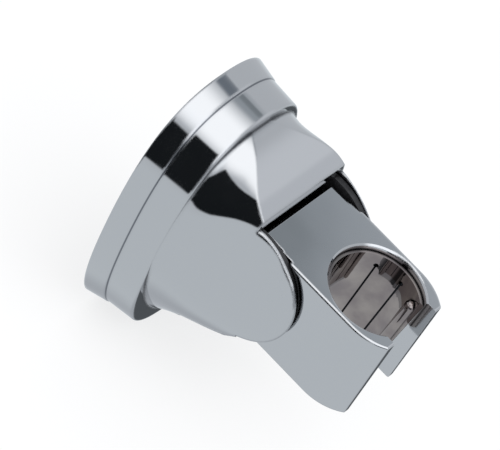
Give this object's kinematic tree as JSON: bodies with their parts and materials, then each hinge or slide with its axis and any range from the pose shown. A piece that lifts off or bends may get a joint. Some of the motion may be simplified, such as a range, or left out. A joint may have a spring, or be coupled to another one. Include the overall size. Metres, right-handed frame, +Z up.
{
  "type": "hand shower holder",
  "caption": "Wall bracket for a hand shower: stepped oval base, forked arm and a tilting cradle with an open tapered socket that grips the hose cone.",
  "frame": {"origin": "middle of the oval wall face, in the plane of the wall", "axes": "+Y into the wall, +Z up along the long axis of the base, +X along the swivel axis, so the cradle stands out towards -Y"},
  "size_m": [0.0492, 0.0706, 0.078],
  "materials": {
    "chrome_housing": "mirror-bright chrome plating on moulded plastic",
    "chrome_cradle": "mirror-bright chrome plating on moulded plastic",
    "liner_plastic": "warm grey satin plastic",
    "black_acetal": "black satin acetal",
    "plate_plastic": "light grey matt plastic",
    "foam_pad": "closed-cell foam",
    "bright_steel": "ground steel",
    "stainless_screw": "stainless steel",
    "insert_brass": "turned brass",
    "zinc_screw": "zinc-plated steel",
    "natural_acetal": "natural white acetal",
    "fibre_washer": "red-brown fibre",
    "spring_steel": "oiled spring steel"
  },
  "bodies": {
    "root": {"housing": "chrome_housing", "pivot_yoke": "black_acetal", "wall_plate": "plate_plastic", "backing_pad": "foam_pad", "pivot_axle": "bright_steel", "lock_screw": "stainless_screw", "lock_insert": "insert_brass", "yoke_screw_left": "zinc_screw", "yoke_screw_right": "zinc_screw", "friction_washer_left": "fibre_washer", "friction_washer_right": "fibre_washer", "disc_spring_left": "spring_steel", "disc_spring_right": "spring_steel"},
    "swivel": {"cradle": "chrome_cradle", "socket_liner": "liner_plastic", "barrel_bush_left": "natural_acetal", "barrel_bush_right": "natural_acetal"}
  },
  "joints": [
    {"name": "cradle_tilt", "type": "hinge", "parent": "root", "child": "swivel", "pos_m": [0, -0.0317, 0.0069], "axis": [1, 0, 0], "range_deg": [-25, 50]}
  ]
}
